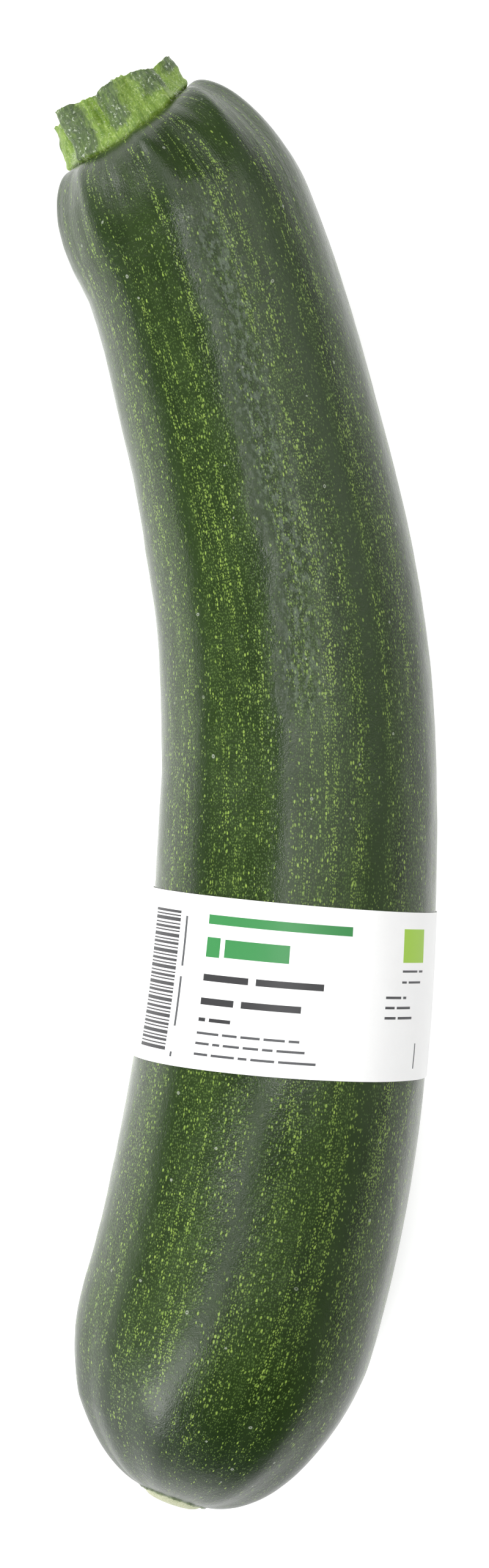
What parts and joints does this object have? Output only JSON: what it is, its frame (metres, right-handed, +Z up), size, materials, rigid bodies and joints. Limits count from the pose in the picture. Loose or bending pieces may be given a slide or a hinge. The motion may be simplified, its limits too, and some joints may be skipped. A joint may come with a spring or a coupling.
{
  "type": "zucchini",
  "caption": "Long, gently bent dark green zucchini lying on its side, with a lobed cut stem stub, a blossom scar and a plain white paper band label.",
  "frame": {"origin": "middle of the footprint, on the surface that the zucchini lies on", "axes": "+Z up from the surface, +Y along the length towards the stem stub, +X towards the outer side of the bend"},
  "size_m": [0.0708, 0.2608, 0.0546],
  "materials": {
    "skin": "waxy dark green skin with yellow-green speckles",
    "stem": "fuzzy yellow-green and dark green stalk",
    "paper": "smooth white label paper"
  },
  "bodies": {
    "root": {"fruit": "skin", "stem_stub": "stem", "label_band": "paper"}
  },
  "joints": []
}
